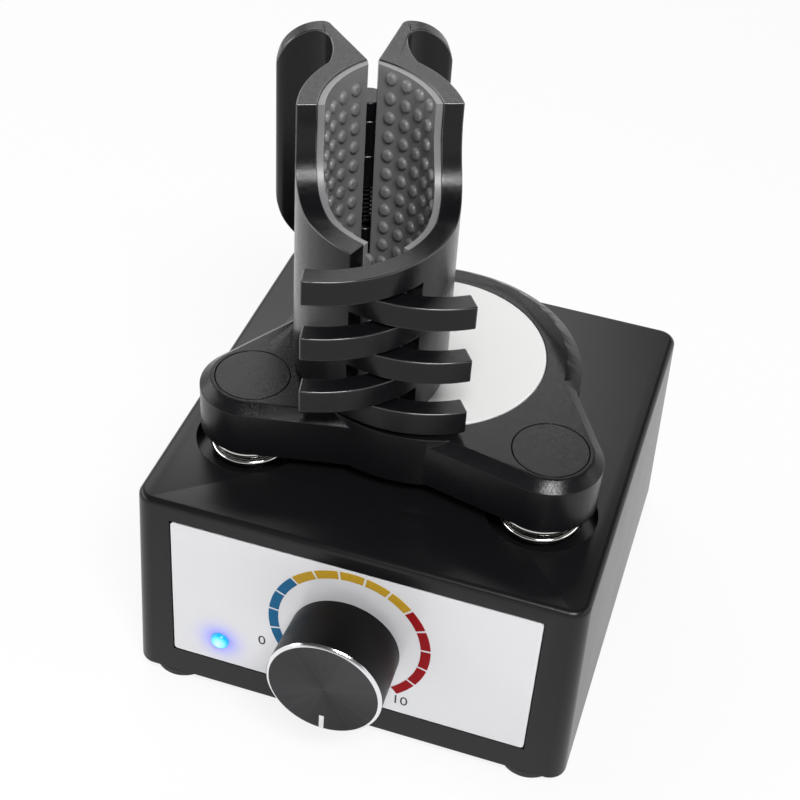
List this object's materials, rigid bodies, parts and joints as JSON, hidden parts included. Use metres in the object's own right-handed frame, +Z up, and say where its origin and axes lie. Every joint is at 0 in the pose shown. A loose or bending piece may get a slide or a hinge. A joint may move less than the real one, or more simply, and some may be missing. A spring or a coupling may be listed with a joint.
{
  "type": "nail polish shaker machine",
  "caption": "Square motor box with a speed knob and a spring-carried platform that orbits, with a sprung finger clamp for a bottle.",
  "frame": {"origin": "on the surface it stands on, in the middle of the bounding box", "axes": "+Z up, +Y to the back, away from the knob, +X to the right seen from the front"},
  "size_m": [0.1228, 0.1448, 0.161],
  "materials": {
    "case_black": "satin moulded black with a faint sheen",
    "panel_white": "semi-gloss white",
    "print_blue": "printed blue",
    "print_yellow": "printed yellow",
    "print_red": "printed red",
    "lamp": "lit blue lens",
    "rubber_black": "soft black",
    "knob_metal": "black anodised, bright turned bevel",
    "pointer_white": "white fill",
    "steel": "bright steel",
    "zinc_steel": "zinc plated",
    "spring_chrome": "polished wire",
    "brass": "turned",
    "board_green": "solder mask",
    "part_black": "moulded",
    "magnet": "ferrite",
    "copper": "wound and laminated",
    "platform_black": "satin with a fine sparkle on the bevels",
    "disc_white": "smooth white",
    "clamp_black": "satin with a fine sparkle",
    "silicone_grey": "soft grey with round bumps"
  },
  "bodies": {
    "base": {"housing_shell": "case_black", "bottom_plate": "case_black", "rubber_feet": "rubber_black", "bottom_screws": "zinc_steel", "front_panel": "panel_white", "scale_marks_low": "print_blue", "scale_marks_mid": "print_yellow", "scale_marks_high": "print_red", "power_led": "lamp", "potentiometer_body": "zinc_steel", "potentiometer_washer": "zinc_steel", "potentiometer_nut": "zinc_steel", "control_board": "board_green", "board_standoffs": "brass", "board_screws": "zinc_steel", "board_capacitor": "part_black", "board_transistor": "part_black", "dc_inlet": "part_black", "inlet_nut": "zinc_steel", "motor_can": "zinc_steel", "motor_end_cap": "part_black", "motor_magnets": "magnet", "motor_bracket": "zinc_steel", "motor_screws": "zinc_steel", "bracket_screws": "zinc_steel", "spring_left": "spring_chrome", "spring_right": "spring_chrome", "spring_rear": "spring_chrome"},
    "rotor": {"motor_shaft": "steel", "motor_armature": "copper", "eccentric_hub": "brass", "hub_set_screw": "zinc_steel", "bearing_inner_ring": "steel"},
    "platform": {"platform": "platform_black", "top_disc": "disc_white", "lobe_cap_left": "platform_black", "lobe_cap_right": "platform_black", "bearing_outer_ring": "steel", "bearing_balls": "spring_chrome", "bearing_retainer": "brass", "hinge_pin": "steel", "hinge_cap": "clamp_black", "hinge_washer": "steel", "torsion_spring": "spring_chrome"},
    "left_jaw": {"left_jaw": "clamp_black", "left_pad": "silicone_grey"},
    "right_jaw": {"right_jaw": "clamp_black", "right_pad": "silicone_grey"},
    "knob": {"speed_knob": "knob_metal", "knob_pointer": "pointer_white", "potentiometer_shaft": "steel", "knob_set_screw": "zinc_steel"}
  },
  "joints": [
    {"name": "motor_spin", "type": "hinge", "parent": "base", "child": "rotor", "pos_m": [0, 0.00888, 0.0485], "axis": [0, 0, 1], "continuous": true},
    {"name": "platform_orbit", "type": "hinge", "parent": "rotor", "child": "platform", "pos_m": [0, 0.00988, 0.077], "axis": [0, 0, 1], "continuous": true},
    {"name": "left_jaw_swing", "type": "hinge", "parent": "platform", "child": "left_jaw", "pos_m": [-0.02582, 0.02763, 0.1165], "axis": [0, 0, -1], "range_deg": [0, 27], "stiffness_Nm_per_rad": 0.08, "springref_deg": -11.46, "deforming": ["torsion_spring"]},
    {"name": "right_jaw_swing", "type": "hinge", "parent": "platform", "child": "right_jaw", "pos_m": [-0.02582, 0.02763, 0.1165], "axis": [0, 0, 1], "range_deg": [0, 27], "stiffness_Nm_per_rad": 0.08, "springref_deg": -11.46},
    {"name": "knob_turn", "type": "hinge", "parent": "base", "child": "knob", "pos_m": [0, -0.05201, 0.03725], "axis": [0, 0.9994, -0.034], "range_deg": [0, 320]}
  ],
  "couplings": [
    {"joint": "platform_orbit", "follows": "motor_spin", "ratio": -1},
    {"joint": "right_jaw_swing", "follows": "left_jaw_swing", "ratio": 1}
  ]
}
